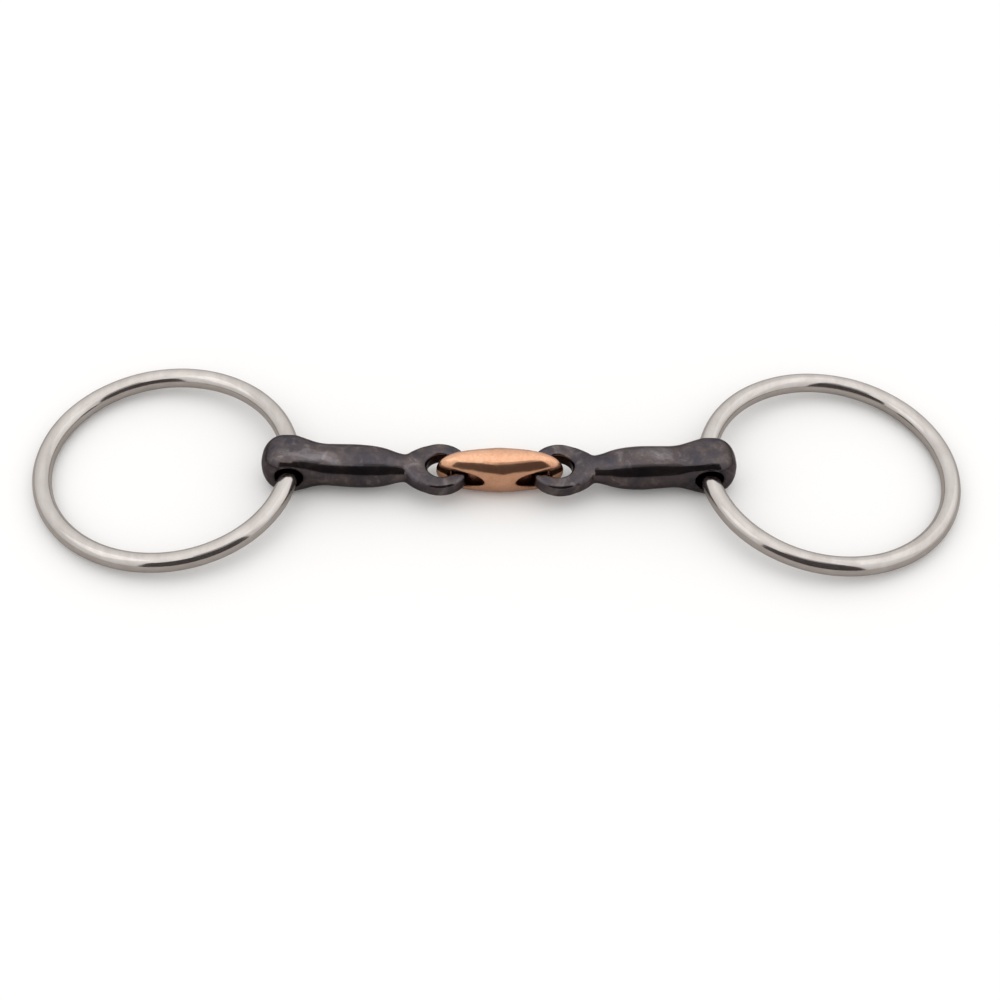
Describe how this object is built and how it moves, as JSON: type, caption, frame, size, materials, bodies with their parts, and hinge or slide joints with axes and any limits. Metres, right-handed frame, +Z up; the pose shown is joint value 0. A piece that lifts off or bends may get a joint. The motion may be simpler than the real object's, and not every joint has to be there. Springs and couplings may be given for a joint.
{
  "type": "snaffle bit",
  "caption": "Loose-ring snaffle bit with two blued iron cannons hinged on an upright copper lozenge link, lying flat.",
  "frame": {"origin": "on the surface the bit lies on, under the middle of its bounding box", "axes": "+X along the mouthpiece towards the right ring, +Z up, and the mouthpiece's middle sags towards -Y"},
  "size_m": [0.2858, 0.082, 0.0152],
  "materials": {
    "ring_steel": "stainless steel wire, polished, with faint polishing marks",
    "sweet_iron": "blued sweet iron, semi-gloss blue-black with brown and purple mottling",
    "link_copper": "polished copper"
  },
  "bodies": {
    "centre_link": {"centre_link": "link_copper"},
    "left_cannon": {"left_cannon": "sweet_iron"},
    "right_cannon": {"right_cannon": "sweet_iron"},
    "left_ring": {"left_ring": "ring_steel"},
    "right_ring": {"right_ring": "ring_steel"}
  },
  "joints": [
    {"name": "left_cannon_fold", "type": "hinge", "parent": "centre_link", "child": "left_cannon", "pos_m": [-0.0178, -0.0024, 0.0076], "axis": [0, 0, -1], "range_deg": [-63, 57]},
    {"name": "right_cannon_fold", "type": "hinge", "parent": "centre_link", "child": "right_cannon", "pos_m": [0.0178, -0.0024, 0.0076], "axis": [0, 0, 1], "range_deg": [-63, 57]},
    {"name": "left_ring_swing", "type": "hinge", "parent": "left_cannon", "child": "left_ring", "pos_m": [-0.064, 0, 0.0076], "axis": [0, 1, 0], "range_deg": [-90, 90]},
    {"name": "right_ring_swing", "type": "hinge", "parent": "right_cannon", "child": "right_ring", "pos_m": [0.064, 0, 0.0076], "axis": [0, -1, 0], "range_deg": [-90, 90]}
  ]
}
